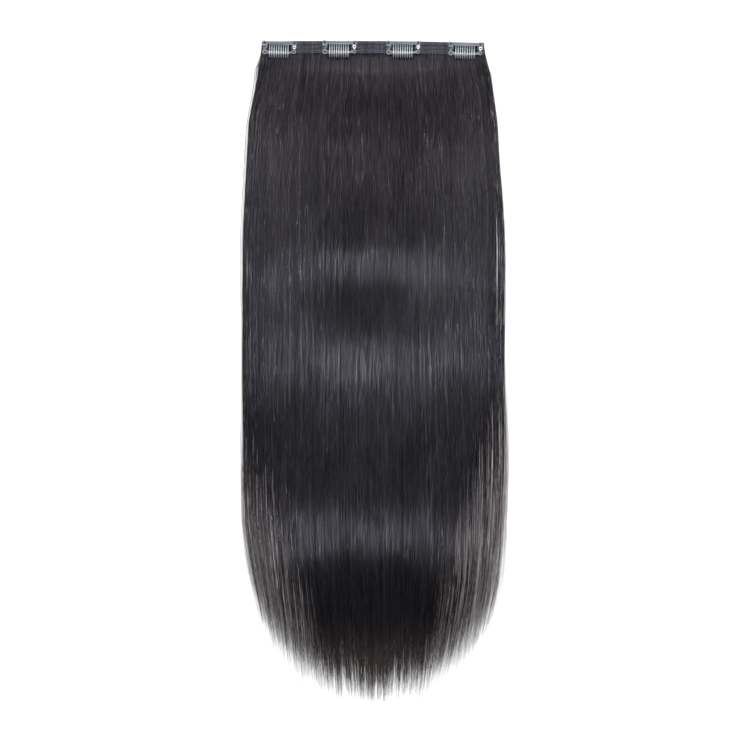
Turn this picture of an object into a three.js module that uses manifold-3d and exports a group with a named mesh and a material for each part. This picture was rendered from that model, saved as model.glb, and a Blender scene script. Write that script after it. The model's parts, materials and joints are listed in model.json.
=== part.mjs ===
// A clip in hair extension: one wide weft of long dark hair with four snap combs sewn along its band.
// It lies flat on a surface with the combs facing up. Millimetres, +X across the weft,
// +Y from the tips of the hair towards the combs, +Z up from the surface.
// The origin is the middle of the area that the weft covers on the surface.

import * as THREE from "three";
import { mergeVertices } from "three/addons/utils/BufferGeometryUtils.js";
import Module from "manifold-3d";

const wasm = await Module();
wasm.setup();

// Fit between pieces
const FIT = 0.3; // space between two pieces that rest on each other
const RIVET_FIT = 0.2; // space between the eyelet and the sheet that it is clenched in
const HOOK_FIT = 0.45; // space round the eyelet's barrel in the rail's hook, for the comb to rock
const SEAM = 0.35; // slit between the comb's lobes and the rail's lobes

// Hair
const HAIR_LENGTH = 604; // from the band's lower edge to the tip of the longest lock
const HAIR_HALF_WIDTH = 124; // half the width of the curtain at its widest
const HAIR_HEIGHT = 14; // highest that the curtain stands off the surface
const LOCK_WIDTH = 22.5; // foot of one lock, which its neighbours overlap
const LOCK_SWAY = 2; // how far a lock wanders sideways
const SWAY_WAVES = 1.4; // waves of that in the hair's length
const LEAN_FROM = 0.62; // share of the length from which the ends draw in
const TIP_LENGTH = 92; // stretch over which a lock tapers to its tip
const BELOW_SURFACE = 1; // what the locks reach below the surface before they are cut flat

// Band
const BAND_LENGTH = 209;
const BAND_HEIGHT = 11.4; // from its top edge to its lower edge
const BAND_SKEW = 0.7; // fall of the band at its right end, and rise at its left end
const BAND_BOW = 1.2; // fall of both ends below the middle
const BAND_STEPS = 12; // straight stretches that make up the bow
const TRACKS = 3; // sewn tracks, one below the other
const TRACK_THICKNESS = 1;
const TRACK_GAP = 0.4; // groove between two tracks
const ROOT_THIN = 0.9; // pressed hair roots under the band's top edge
const ROOT_THICK = 2.4; // and under its lower edge, where the hair of all tracks lies
const ROOT_APRON = 6; // how far the pressed roots reach below the band
const LOCK_START = 1; // how far below the band the locks leave the pressed roots

// Snap comb
const SHEET = 0.5; // thickness of the spring steel
const CLIP_WIDTH = 32.2;
const CLIP_TOP = 5.6; // from the hinge line up to the comb's top edge
const SPINE_HEIGHT = 3.1; // the bar that holds the teeth
const SPINE_CORNER = 1.2;
const LEFT_LOBE = 4.7; // width of the comb's left lobe
const RIGHT_LOBE = 4.2; // width of its right lobe, round the eyelet
const LOBE_REACH = 2; // how far the comb's lobes reach below the hinge line
const SEW_HOLE = 1.6; // bore of the sewing holes
const SEW_HOLE_DOWN = 2.2; // from the comb's top edge to its upper sewing holes
const TEETH = 9;
const TOOTH_PITCH = 2.16;
const TOOTH_FIRST = 7; // from the comb's left edge to the middle of the first tooth
const TOOTH_LENGTH = 12.5; // below the spine
const TOOTH_WIDTH = 1.1;
const TOOTH_RISE = 1.1; // how far the bent teeth stand above the sheet
const TOOTH_SINK = 0.8; // how far a tooth's root runs up into the spine

// Rail, the bowed bar that the teeth press on
const LEFT_FOOT = 2.5; // radius of the rail's left lobe
const RIGHT_FOOT = 1.95; // radius of its right lobe
const RAIL_WIDTH = 2.7;
const RAIL_SAG = 1; // how far the bow hangs below the feet's middles
const TONGUE_WIDTH = 2.8; // tab that runs up under the comb's lobe
const TONGUE_ROOT = 1.1; // stretch where the tab is joined to the foot

// Eyelet
const EYELET_FLANGE = 3.5;
const EYELET_BARREL = 2.3;
const EYELET_BORE = 1.4;
const EYELET_CROWN = 0.4; // height of the rolled flange
const EYELET_DEPTH = 0.35; // how far the barrel reaches below the comb's sheet

// Facets
const HOLE_SIDES = 10;
const ROUND_SIDES = 14;
const LOBE_STEPS = 6; // straight edges in a half round end
const CORNER_STEPS = 3;

// The curtain from the band down: place as a share of HAIR_LENGTH, spread as a share of
// HAIR_HALF_WIDTH, height as a share of HAIR_HEIGHT. The three swells catch the light.
const CURTAIN = [
  { at: 0.0, spread: 0.85, height: 0.17 },
  { at: 0.03, spread: 0.885, height: 0.22 },
  { at: 0.075, spread: 0.915, height: 0.4 },
  { at: 0.14, spread: 0.955, height: 0.52 },
  { at: 0.21, spread: 0.98, height: 0.54 },
  { at: 0.28, spread: 1.0, height: 0.62 },
  { at: 0.35, spread: 1.0, height: 0.95 },
  { at: 0.42, spread: 1.0, height: 0.7 },
  { at: 0.5, spread: 1.0, height: 1.0 },
  { at: 0.58, spread: 1.0, height: 0.84 },
  { at: 0.66, spread: 1.0, height: 0.62 },
  { at: 0.72, spread: 0.995, height: 0.6 },
  { at: 0.785, spread: 0.985, height: 0.88 },
  { at: 0.86, spread: 0.97, height: 0.62 },
  { at: 0.93, spread: 0.95, height: 0.5 },
  { at: 1.0, spread: 0.93, height: 0.4 },
];

// The locks from left to right: place across as a share of HAIR_HALF_WIDTH, tip as a share of
// HAIR_LENGTH, lean of the end in the same share as across, height against the curtain's.
const LOCKS = [
  { across: -0.91, tip: 0.9, lean: 0.16, height: 0.42 },
  { across: -0.8, tip: 0.915, lean: 0.14, height: 0.6 },
  { across: -0.685, tip: 0.94, lean: 0.13, height: 0.8 },
  { across: -0.57, tip: 0.935, lean: 0.1, height: 0.9 },
  { across: -0.455, tip: 0.967, lean: 0.08, height: 0.94 },
  { across: -0.34, tip: 0.955, lean: 0.06, height: 1.0 },
  { across: -0.225, tip: 0.985, lean: 0.05, height: 0.93 },
  { across: -0.11, tip: 0.968, lean: 0.02, height: 0.98 },
  { across: 0.0, tip: 1.0, lean: 0.0, height: 0.95 },
  { across: 0.115, tip: 0.972, lean: -0.02, height: 1.0 },
  { across: 0.23, tip: 0.988, lean: -0.06, height: 0.94 },
  { across: 0.34, tip: 0.96, lean: -0.06, height: 0.98 },
  { across: 0.455, tip: 0.972, lean: -0.1, height: 0.92 },
  { across: 0.57, tip: 0.955, lean: -0.1, height: 0.88 },
  { across: 0.685, tip: 0.945, lean: -0.12, height: 0.8 },
  { across: 0.8, tip: 0.935, lean: -0.13, height: 0.62 },
  { across: 0.91, tip: 0.915, lean: -0.16, height: 0.44 },
];

// A lock's end: before is the way left to the tip as a share of TIP_LENGTH,
// width and height are shares of the lock's own.
const LOCK_TIP = [
  { before: 1.0, width: 1.0, height: 1.0 },
  { before: 0.66, width: 0.84, height: 0.86 },
  { before: 0.34, width: 0.56, height: 0.66 },
  { before: 0.12, width: 0.28, height: 0.42 },
  { before: 0.0, width: 0.06, height: 0.16 },
];

// Half section of a lock, from its foot to its crest: shares of half its width and of its height
const LOCK_SECTION = [
  { out: 1.0, up: 0.0 },
  { out: 0.86, up: 0.55 },
  { out: 0.48, up: 0.88 },
  { out: 0.0, up: 1.0 },
];

// A tooth from the spine to its tip: along as a share of TOOTH_LENGTH,
// rise of TOOTH_RISE and width of TOOTH_WIDTH. It bends up, passes over the rail and comes down again.
const TOOTH = [
  { along: 0.0, rise: 0.0, width: 1.0 },
  { along: 0.2, rise: 0.0, width: 1.0 },
  { along: 0.41, rise: 1.0, width: 1.0 },
  { along: 0.74, rise: 0.95, width: 0.88 },
  { along: 0.94, rise: 0.6, width: 0.66 },
  { along: 1.0, rise: 0.5, width: 0.3 },
];

// The rail from the left foot to the right one: across as a share of the way between the feet's
// middles, sag of RAIL_SAG and width of RAIL_WIDTH
const RAIL = [
  { across: 0.06, sag: 0.15, width: 1.1 },
  { across: 0.16, sag: 0.62, width: 1.08 },
  { across: 0.32, sag: 0.95, width: 1.0 },
  { across: 0.5, sag: 1.0, width: 0.93 },
  { across: 0.68, sag: 0.88, width: 0.82 },
  { across: 0.84, sag: 0.5, width: 0.7 },
  { across: 0.94, sag: 0.12, width: 0.66 },
];

// The combs from left to right: across as a share of half the band, tilt in degrees
const COMBS = [
  { across: -0.842, tilt: -1.4 },
  { across: -0.302, tilt: -0.8 },
  { across: 0.272, tilt: -0.6 },
  { across: 0.832, tilt: -1.6 },
];

const materials = {
  hair: new THREE.MeshStandardMaterial({ color: 0x231e20, roughness: 0.42, metalness: 0 }),
  track: new THREE.MeshStandardMaterial({ color: 0x3a3e48, roughness: 0.7, metalness: 0 }),
  steel: new THREE.MeshStandardMaterial({ color: 0x5c626d, roughness: 0.35, metalness: 0.6 }),
  eyelet: new THREE.MeshStandardMaterial({ color: 0xc9c6c0, roughness: 0.25, metalness: 0.9 }),
};

// A closed three.js geometry as a solid for joining and cutting
function solidOf(geometry) {
  const bare = geometry.clone();
  bare.deleteAttribute("normal");
  bare.deleteAttribute("uv");
  const merged = mergeVertices(bare, 1e-4);
  return new wasm.Manifold(
    new wasm.Mesh({
      numProp: 3,
      vertProperties: new Float32Array(merged.attributes.position.array),
      triVerts: new Uint32Array(merged.index.array),
    }),
  );
}

// A solid as a three.js geometry again
function geometryOf(solid) {
  const mesh = solid.getMesh();
  const geometry = new THREE.BufferGeometry();
  geometry.setAttribute("position", new THREE.BufferAttribute(mesh.vertProperties, 3));
  geometry.setIndex(new THREE.BufferAttribute(mesh.triVerts, 1));
  geometry.computeVertexNormals();
  return geometry;
}

// A closed body through rings of corners. Each ring turns anticlockwise seen from the next one.
function loft(rings) {
  const corners = rings[0].length;
  const last = (rings.length - 1) * corners;
  const index = [];
  for (let ring = 0; ring < last; ring += corners) {
    for (let k = 0; k < corners; k++) {
      const next = (k + 1) % corners;
      index.push(ring + k, ring + next, ring + corners + next);
      index.push(ring + k, ring + corners + next, ring + corners + k);
    }
  }
  for (let k = 1; k + 1 < corners; k++) {
    index.push(0, k + 1, k);
    index.push(last, last + k, last + k + 1);
  }
  const geometry = new THREE.BufferGeometry();
  const places = rings.flat().flatMap((corner) => corner.toArray());
  geometry.setAttribute("position", new THREE.Float32BufferAttribute(places, 3));
  geometry.setIndex(index);
  return geometry;
}

// Corners on an arc, both ends included, angles in turns of a full circle
function arc(x, y, radius, from, to, steps) {
  return Array.from({ length: steps + 1 }, (_, k) => {
    const angle = 2 * Math.PI * THREE.MathUtils.lerp(from, to, k / steps);
    return new THREE.Vector2(x + radius * Math.cos(angle), y + radius * Math.sin(angle));
  });
}

function circle(x, y, radius, sides) {
  return arc(x, y, radius, 0, 1 - 1 / sides, sides - 1);
}

// A flat plate from z = low to z = high
function plate(outline, holes, low, high) {
  const shape = new THREE.Shape(outline);
  shape.holes = holes.map((corners) => new THREE.Path(corners));
  const geometry = new THREE.ExtrudeGeometry(shape, { depth: high - low, bevelEnabled: false });
  return geometry.translate(0, 0, low);
}

function box(left, right, back, front, low, high) {
  const geometry = new THREE.BoxGeometry(right - left, front - back, high - low);
  return geometry.translate((left + right) / 2, (back + front) / 2, (low + high) / 2);
}

// The named columns of a table at a place between two of its rows
function between(rows, column, value) {
  const after = rows.findIndex((row) => row[column] >= value);
  if (after <= 0) return after === 0 ? rows[0] : rows[rows.length - 1];
  const [a, b] = [rows[after - 1], rows[after]];
  const share = (value - a[column]) / (b[column] - a[column]);
  const names = Object.keys(a);
  return Object.fromEntries(names.map((name) => [name, THREE.MathUtils.lerp(a[name], b[name], share)]));
}

// Where the band's top edge runs: how far it lies above the middle of the band, at a place across
function bandLine(x) {
  const share = x / (BAND_LENGTH / 2);
  return -BAND_SKEW * share - BAND_BOW * share * share;
}

// The top of the pressed roots, at a depth below the band's top edge
const ROOT_SLOPE = (ROOT_THICK - ROOT_THIN) / BAND_HEIGHT;
const rootTop = (depth) => ROOT_THIN + ROOT_SLOPE * depth;

// Places along the band from end to end
const bandPlaces = Array.from({ length: BAND_STEPS + 1 }, (_, k) => BAND_LENGTH * (k / BAND_STEPS - 0.5));

// The pressed roots under the tracks, the head that all locks are fused to
function hairHead() {
  const low = -BELOW_SURFACE;
  const end = BAND_HEIGHT + ROOT_APRON;
  return loft(
    bandPlaces.map((x) => {
      const edge = bandLine(x);
      return [
        new THREE.Vector3(x, edge - end, low),
        new THREE.Vector3(x, edge, low),
        new THREE.Vector3(x, edge, rootTop(0)),
        new THREE.Vector3(x, edge - end, rootTop(end)),
      ];
    }),
  );
}

// One lock, a low arch in section, from inside the head to its tip
function lock(row, number) {
  const taper = TIP_LENGTH / HAIR_LENGTH;
  const body = CURTAIN.filter((station) => station.at > 0 && station.at < row.tip - taper);
  const places = [
    { at: LOCK_START / HAIR_LENGTH, width: 1, height: 1 },
    ...body.map((station) => ({ at: station.at, width: 1, height: 1 })),
    ...LOCK_TIP.map((end) => ({ ...end, at: row.tip - taper * end.before })),
  ];
  const mirrored = LOCK_SECTION.slice(0, -1).reverse().map((corner) => ({ out: -corner.out, up: corner.up }));
  const section = [...LOCK_SECTION, ...mirrored];
  return loft(
    places.map((place) => {
      const curtain = between(CURTAIN, "at", place.at);
      const drawn = Math.max(0, (place.at - LEAN_FROM) / (1 - LEAN_FROM));
      const sway = LOCK_SWAY * Math.sin(2 * Math.PI * SWAY_WAVES * place.at + number);
      const middle = HAIR_HALF_WIDTH * (row.across * curtain.spread + row.lean * drawn ** 1.6);
      const x = middle + sway * Math.max(0, place.at);
      const y = bandLine(middle) - BAND_HEIGHT - HAIR_LENGTH * place.at;
      const half = (LOCK_WIDTH / 2) * curtain.spread * place.width;
      const top = HAIR_HEIGHT * curtain.height * row.height * place.height + BELOW_SURFACE;
      return section.map(
        (corner) => new THREE.Vector3(x + half * corner.out, y, top * corner.up - BELOW_SURFACE),
      );
    }),
  );
}

// The whole curtain: head and locks fused, and cut flat where they lie on the surface
function hairCurtain() {
  const grown = LOCKS.reduce((sum, row, k) => sum.add(solidOf(lock(row, k))), solidOf(hairHead()));
  const reach = 2 * HAIR_LENGTH;
  const below = box(-reach, reach, -reach, reach, -2 * BELOW_SURFACE, 0);
  return geometryOf(grown.subtract(solidOf(below)));
}

// One sewn track on the sloping roots, a flat bead with rounded edges
function track(number) {
  const pitch = (BAND_HEIGHT + TRACK_GAP) / TRACKS;
  const width = pitch - TRACK_GAP;
  const middle = number * pitch + width / 2;
  const tilt = Math.atan(ROOT_SLOPE);
  const bevel = TRACK_THICKNESS * 0.3;
  const [w, t] = [width / 2, TRACK_THICKNESS / 2];
  const section = [
    [w, -t + bevel], [w, t - bevel], [w - bevel, t], [bevel - w, t],
    [-w, t - bevel], [-w, -t + bevel], [bevel - w, -t], [w - bevel, -t],
  ];
  const rise = rootTop(middle) + (FIT + t) / Math.cos(tilt);
  return loft(
    bandPlaces.map((x) =>
      section.map(([y, z]) => {
        const across = y * Math.cos(tilt) + z * Math.sin(tilt);
        const up = z * Math.cos(tilt) - y * Math.sin(tilt);
        return new THREE.Vector3(x, bandLine(x) - middle + across, rise + up);
      }),
    ),
  );
}

// The snap comb is drawn about its hinge line: x along the line, y up the weft, z = 0 under the sheet
const LEFT = -CLIP_WIDTH / 2;
const RIGHT = CLIP_WIDTH / 2;
const LEFT_MIDDLE = LEFT + LEFT_LOBE / 2;
const RIGHT_MIDDLE = RIGHT - RIGHT_LOBE / 2;
const SPINE_EDGE = CLIP_TOP - SPINE_HEIGHT;

// The comb's flat sheet: a spine with a lobe at each end
function combSheet() {
  const [left, right] = [LEFT_LOBE / 2, RIGHT_LOBE / 2];
  const corner = CLIP_TOP - SPINE_CORNER;
  const outline = [
    ...arc(RIGHT - SPINE_CORNER, corner, SPINE_CORNER, 0, 0.25, CORNER_STEPS),
    ...arc(LEFT + SPINE_CORNER, corner, SPINE_CORNER, 0.25, 0.5, CORNER_STEPS),
    ...arc(LEFT_MIDDLE, left - LOBE_REACH, left, 0.5, 1, LOBE_STEPS),
    new THREE.Vector2(LEFT + LEFT_LOBE, SPINE_EDGE),
    new THREE.Vector2(RIGHT - RIGHT_LOBE, SPINE_EDGE),
    ...arc(RIGHT_MIDDLE, right - LOBE_REACH, right, 0.5, 1, LOBE_STEPS),
  ];
  const sewn = CLIP_TOP - SEW_HOLE_DOWN;
  const holes = [
    circle(LEFT_MIDDLE, sewn, SEW_HOLE / 2, HOLE_SIDES),
    circle(LEFT_MIDDLE, 0, SEW_HOLE / 2, HOLE_SIDES),
    circle(RIGHT_MIDDLE, sewn, SEW_HOLE / 2, HOLE_SIDES),
    circle(RIGHT_MIDDLE, 0, EYELET_BARREL / 2 + RIVET_FIT, ROUND_SIDES),
  ];
  return plate(outline, holes, 0, SHEET);
}

function tooth(number) {
  const x = LEFT + TOOTH_FIRST + number * TOOTH_PITCH;
  const root = { along: -TOOTH_SINK / TOOTH_LENGTH, rise: 0, width: 1 };
  return loft(
    [root, ...TOOTH].map((row) => {
      const y = SPINE_EDGE - TOOTH_LENGTH * row.along;
      const low = TOOTH_RISE * row.rise;
      const half = (TOOTH_WIDTH / 2) * row.width;
      return [
        new THREE.Vector3(x - half, y, low),
        new THREE.Vector3(x - half, y, low + SHEET),
        new THREE.Vector3(x + half, y, low + SHEET),
        new THREE.Vector3(x + half, y, low),
      ].reverse();
    }),
  );
}

function combBody() {
  const teeth = Array.from({ length: TEETH }, (_, k) => solidOf(tooth(k)));
  return geometryOf(teeth.reduce((sum, one) => sum.add(one), solidOf(combSheet())));
}

// One end of the rail: a round foot with a sewing hole, and a tab that runs up under the comb's
// lobe to the hinge line and hooks round the eyelet's barrel there
function foot(x, radius) {
  const y = -LOBE_REACH - SEAM - radius;
  const disc = plate(
    circle(x, y, radius, ROUND_SIDES), [circle(x, y, SEW_HOLE / 2, HOLE_SIDES)], 0, SHEET,
  );
  const half = TONGUE_WIDTH / 2;
  const join = y + SEW_HOLE / 2 + FIT / 2;
  const under = -FIT - SHEET;
  const tongue = box(x - half, x + half, join, 0, under, -FIT);
  const step = box(x - half, x + half, join, join + TONGUE_ROOT, under, SHEET / 2);
  const hook = plate(circle(x, 0, EYELET_BARREL / 2 + HOOK_FIT, ROUND_SIDES), [], 2 * under, 0);
  const hooked = solidOf(tongue).subtract(solidOf(hook)).add(solidOf(step));
  return solidOf(disc).add(hooked);
}

function rail() {
  const low = -LOBE_REACH - SEAM;
  const feet = { left: low - LEFT_FOOT, right: low - RIGHT_FOOT };
  const bar = loft(
    RAIL.map((row) => {
      const x = THREE.MathUtils.lerp(LEFT_MIDDLE, RIGHT_MIDDLE, row.across);
      const y = THREE.MathUtils.lerp(feet.left, feet.right, row.across) - RAIL_SAG * row.sag;
      const half = (RAIL_WIDTH / 2) * row.width;
      return [
        new THREE.Vector3(x, y - half, 0),
        new THREE.Vector3(x, y + half, 0),
        new THREE.Vector3(x, y + half, SHEET),
        new THREE.Vector3(x, y - half, SHEET),
      ];
    }),
  );
  const ends = foot(LEFT_MIDDLE, LEFT_FOOT).add(foot(RIGHT_MIDDLE, RIGHT_FOOT));
  return geometryOf(solidOf(bar).add(ends));
}

// The eyelet, a rolled flange over a short barrel, turned about its own axis
function eyelet() {
  const [flange, barrel, bore] = [EYELET_FLANGE / 2, EYELET_BARREL / 2, EYELET_BORE / 2];
  const seat = SHEET + RIVET_FIT;
  const profile = [
    [bore, -EYELET_DEPTH],
    [barrel, -EYELET_DEPTH],
    [barrel, seat],
    [flange, seat],
    [flange - EYELET_CROWN / 2, seat + 0.7 * EYELET_CROWN],
    [(flange + bore) / 2, seat + EYELET_CROWN],
    [bore, seat + 0.6 * EYELET_CROWN],
    [bore, -EYELET_DEPTH],
  ];
  const turned = new THREE.LatheGeometry(
    profile.map(([radius, height]) => new THREE.Vector2(radius, height)), ROUND_SIDES,
  );
  return geometryOf(solidOf(turned.rotateX(Math.PI / 2)));
}

// The sheet lies as high above the surface as the rail's tabs need over the tracks
const TAB_DEPTH = CLIP_TOP + LOBE_REACH + SEAM + LEFT_FOOT;
const CLIP_BASE = rootTop(TAB_DEPTH) + FIT + TRACK_THICKNESS + FIT + SHEET + FIT;

function piece(name, geometry, material) {
  const mesh = new THREE.Mesh(geometry, material);
  mesh.name = name;
  return mesh;
}

// One snap comb on the band. The comb and its eyelet rock about the group's X axis.
function snapComb(row, number, shapes) {
  const group = new THREE.Group();
  const x = (row.across * BAND_LENGTH) / 2;
  group.position.set(x, bandLine(x) - CLIP_TOP, CLIP_BASE);
  group.rotation.z = THREE.MathUtils.degToRad(row.tilt);
  const ring = piece(`clip_${number}_eyelet`, shapes.eyelet, materials.eyelet);
  ring.position.x = RIGHT_MIDDLE;
  group.add(piece(`clip_${number}_comb`, shapes.comb, materials.steel));
  group.add(piece(`clip_${number}_rail`, shapes.rail, materials.steel));
  group.add(ring);
  return group;
}

const weft = new THREE.Group();
weft.add(piece("hair_curtain", hairCurtain(), materials.hair));
const trackNames = ["top", "middle", "lower"];
for (let k = 0; k < TRACKS; k++) {
  weft.add(piece(`${trackNames[k] ?? `extra_${k}`}_track`, track(k), materials.track));
}
const shapes = { comb: combBody(), rail: rail(), eyelet: eyelet() };
COMBS.forEach((row, k) => weft.add(snapComb(row, k + 1, shapes)));

// The origin goes to the middle of the covered area, on the surface
const extent = new THREE.Box3().setFromObject(weft);
const middle = extent.getCenter(new THREE.Vector3());
weft.position.set(-middle.x, -middle.y, -extent.min.z);

const part = new THREE.Group();
part.add(weft);

export default part;
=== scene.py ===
# %% [markdown]
# A clip in hair extension: one wide weft of long, dark, straight hair. It lies flat on a pale table with
# its snap combs facing up, and the camera looks straight down on it.
#
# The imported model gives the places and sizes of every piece. This lesson dresses it: thousands of fine
# strands in clumps for the hair, stitches on the sewn tracks, and rounded, painted spring steel combs.

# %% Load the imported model
import json
import math

import bpy
import numpy as np
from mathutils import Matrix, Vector
from mathutils.bvhtree import BVHTree


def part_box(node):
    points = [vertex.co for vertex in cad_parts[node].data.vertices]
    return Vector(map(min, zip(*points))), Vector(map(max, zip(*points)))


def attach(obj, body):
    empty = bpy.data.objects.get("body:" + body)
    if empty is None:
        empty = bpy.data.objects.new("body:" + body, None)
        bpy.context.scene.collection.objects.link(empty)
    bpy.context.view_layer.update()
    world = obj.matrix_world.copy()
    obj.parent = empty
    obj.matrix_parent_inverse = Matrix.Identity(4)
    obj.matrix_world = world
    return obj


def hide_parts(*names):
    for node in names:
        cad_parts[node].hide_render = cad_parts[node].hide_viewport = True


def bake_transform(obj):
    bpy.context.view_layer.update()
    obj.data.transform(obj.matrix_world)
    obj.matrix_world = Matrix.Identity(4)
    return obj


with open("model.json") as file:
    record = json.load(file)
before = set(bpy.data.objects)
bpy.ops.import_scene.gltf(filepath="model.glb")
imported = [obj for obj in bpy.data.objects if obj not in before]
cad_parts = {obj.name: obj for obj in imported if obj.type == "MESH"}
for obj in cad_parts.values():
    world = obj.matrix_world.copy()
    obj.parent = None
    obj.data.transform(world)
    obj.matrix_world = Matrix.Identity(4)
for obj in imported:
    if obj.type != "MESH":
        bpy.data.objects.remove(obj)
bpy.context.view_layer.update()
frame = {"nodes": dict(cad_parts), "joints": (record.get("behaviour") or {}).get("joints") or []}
MM = 0.001

# %% [markdown]
# The photograph was taken from straight above, from far away, so the weft shows no perspective to speak of.
# A long lens high above the table gives the same picture. The size of a pixel on the object and the place
# of the band in the photograph settle where the camera stands.

# %% Camera
PHOTO_SIDE = 736  # pixels
PIXEL = 0.94 * MM  # on the object
BAND_IN_PHOTO = (373.0, 41.0)  # pixels, the middle of the band's top edge
CAMERA_HEIGHT = 8.0
SENSOR = 36.0

band_top_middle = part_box("top_track")[1].y
frame_side = PHOTO_SIDE * PIXEL
camera_data = bpy.data.cameras.new("camera")
camera_data.sensor_width = SENSOR
camera_data.lens = SENSOR * CAMERA_HEIGHT / frame_side
camera_data.clip_end = 50
camera = bpy.data.objects.new("camera", camera_data)
camera.location = (
    (PHOTO_SIDE / 2 - BAND_IN_PHOTO[0]) * PIXEL,
    band_top_middle - (PHOTO_SIDE / 2 - BAND_IN_PHOTO[1]) * PIXEL,
    CAMERA_HEIGHT,
)
bpy.context.collection.objects.link(camera)
bpy.context.scene.camera = camera
print("camera lens", round(camera_data.lens, 1), "mm")

# %% [markdown]
# Dark hair shows almost nothing but its gloss. A strand seen from above sends a lamp's glint to the camera
# only where it slopes halfway between the two. So one lamp a little behind the zenith draws soft bands
# across the swells of the curtain. The table is lit by lamps that stand low behind and in front, where no
# strand slopes enough to catch them, so the hair stays deep while the table is bright. One of those behind
# catches the bent teeth of the combs and throws their shadow on the hair below.

# %% Lamps, room and table
def feed(node, sockets, links=None):
    """Link or set each socket of a node, by its name or number."""
    for socket, value in sockets.items():
        if hasattr(value, "links"):
            links.new(value, node.inputs[socket])
        else:
            node.inputs[socket].default_value = value


def area_lamp(name, place, aim, width, height, power):
    data = bpy.data.lights.new(name, "AREA")
    data.shape = "RECTANGLE"
    data.size = width
    data.size_y = height
    data.energy = power
    lamp = bpy.data.objects.new(name, data)
    lamp.location = place
    lamp.rotation_euler = (Vector(aim) - Vector(place)).to_track_quat("-Z", "Y").to_euler()
    bpy.context.collection.objects.link(lamp)
    return lamp


area_lamp("sheen_lamp", (0.2, 1.7, 9.0), (0, 0, 0), 2.6, 0.6, 620)
area_lamp("comb_lamp", (-0.3, 4.7, 4.6), (0, 0, 0), 1.8, 1.0, 200)
area_lamp("back_left_lamp", (-3.8, 3.6, 4.2), (0, 0, 0), 1.6, 1.6, 60)
area_lamp("back_right_lamp", (3.8, 3.6, 4.2), (0, 0, 0), 1.6, 1.6, 60)
area_lamp("front_lamp", (0.9, -5.6, 3.0), (0, 0, 0), 2.4, 1.4, 50)

room = bpy.data.worlds.new("room")
bpy.context.scene.world = room
room.use_nodes = True
feed(room.node_tree.nodes["Background"], {"Color": (1, 1, 1, 1), "Strength": 0.1})
bpy.context.scene.view_settings.view_transform = "Standard"

bpy.ops.object.select_all(action="DESELECT")
bpy.ops.mesh.primitive_plane_add(size=14, location=(0, 0, -0.3 * MM))
table = bpy.context.object
table.name = "table"
table_paint = bpy.data.materials.new("table_paint")
table_paint.use_nodes = True
pale_grey = {"Base Color": (0.93, 0.93, 0.93, 1), "Roughness": 0.9, "Specular IOR Level": 0.1}
feed(table_paint.node_tree.nodes["Principled BSDF"], pale_grey)
table.data.materials.append(table_paint)

# %% [markdown]
# The solid curtain of the model holds the height and the swells of the hair. Rays cast down on it read them
# back, so the strands follow the model without a second table of heights. The tracks give the band's line.

# %% Read the curtain's form
curtain_low, curtain_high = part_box("hair_curtain")
HALF_WIDTH = (curtain_high.x - curtain_low.x) / 2
SKY = 0.2  # where rays start


def surface(node):
    mesh = frame["nodes"][node].data
    return BVHTree.FromPolygons([v.co for v in mesh.vertices], [tuple(p.vertices) for p in mesh.polygons])


def top_of(solid, x, y):
    """Height of a solid's top at a place, 0 beside it."""
    hit = solid.ray_cast(Vector((x, y, SKY)), Vector((0, 0, -1)))[0]
    return hit.z if hit else 0.0


def track_edge(node, pick):
    """Places across and the y of a track's edge there."""
    corners = np.array([v.co for v in frame["nodes"][node].data.vertices])
    places = np.unique(np.round(corners[:, 0], 4))
    return places, np.array([pick(corners[abs(corners[:, 0] - place) < MM, 1]) for place in places])


TOP_EDGE = track_edge("top_track", np.max)
LOW_EDGE = track_edge("lower_track", np.min)
BAND_LEFT, BAND_RIGHT = TOP_EDGE[0][0], TOP_EDGE[0][-1]


def band_top(x):
    return np.interp(x, *TOP_EDGE)


def band_low(x):
    return np.interp(x, *LOW_EDGE)


HAIR_LENGTH = float(band_low(0) - curtain_low.y)


def smooth(values, width):
    """Gaussian smoothing over neighbours, the ends held."""
    reach = int(3 * width) + 1
    weights = np.exp(-0.5 * (np.arange(-reach, reach + 1) / width) ** 2)
    padded = np.pad(values, reach, mode="edge")
    return np.convolve(padded, weights / weights.sum(), mode="valid")


READ_ALONG = np.linspace(0, 1, 141)
READ_ACROSS = np.linspace(-0.97, 0.97, 49)
FULLEST = slice(50, 90)  # rows where the outline runs straight
SHOULDER_AT = 0.15  # of the hair's length
curtain = surface("hair_curtain")
read = np.array([
    [top_of(curtain, share * HALF_WIDTH, band_low(0) - at * HAIR_LENGTH) for share in READ_ACROSS]
    for at in READ_ALONG
])
crest = smooth(read.max(axis=1), 1.6)
form = (read[FULLEST] / read[FULLEST].max(axis=1, keepdims=True)).mean(axis=0)
ACROSS_FORM = smooth(np.maximum.reduce([np.roll(form, k) for k in (-1, 0, 1)]), 1.2)
ROOT_HEIGHT = top_of(curtain, 0, band_low(0) + 1 * MM)
SHOULDER = float(np.interp(SHOULDER_AT, READ_ALONG, crest))
print("hair", round(HAIR_LENGTH, 3), "crest", round(float(crest.max()), 4), "root", round(ROOT_HEIGHT, 4))

# %% [markdown]
# Not the height but the slope of the hair decides where it shines. So the swells are given as slopes down
# the hair, in its middle and at its sides, and summed to heights that start at the model's first shoulder.
# Where the slope is near a tenth, the lamp behind the zenith is mirrored to the camera. Towards the sides the
# curtain gets lower as the model does, and the swells on it keep their size.

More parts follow.
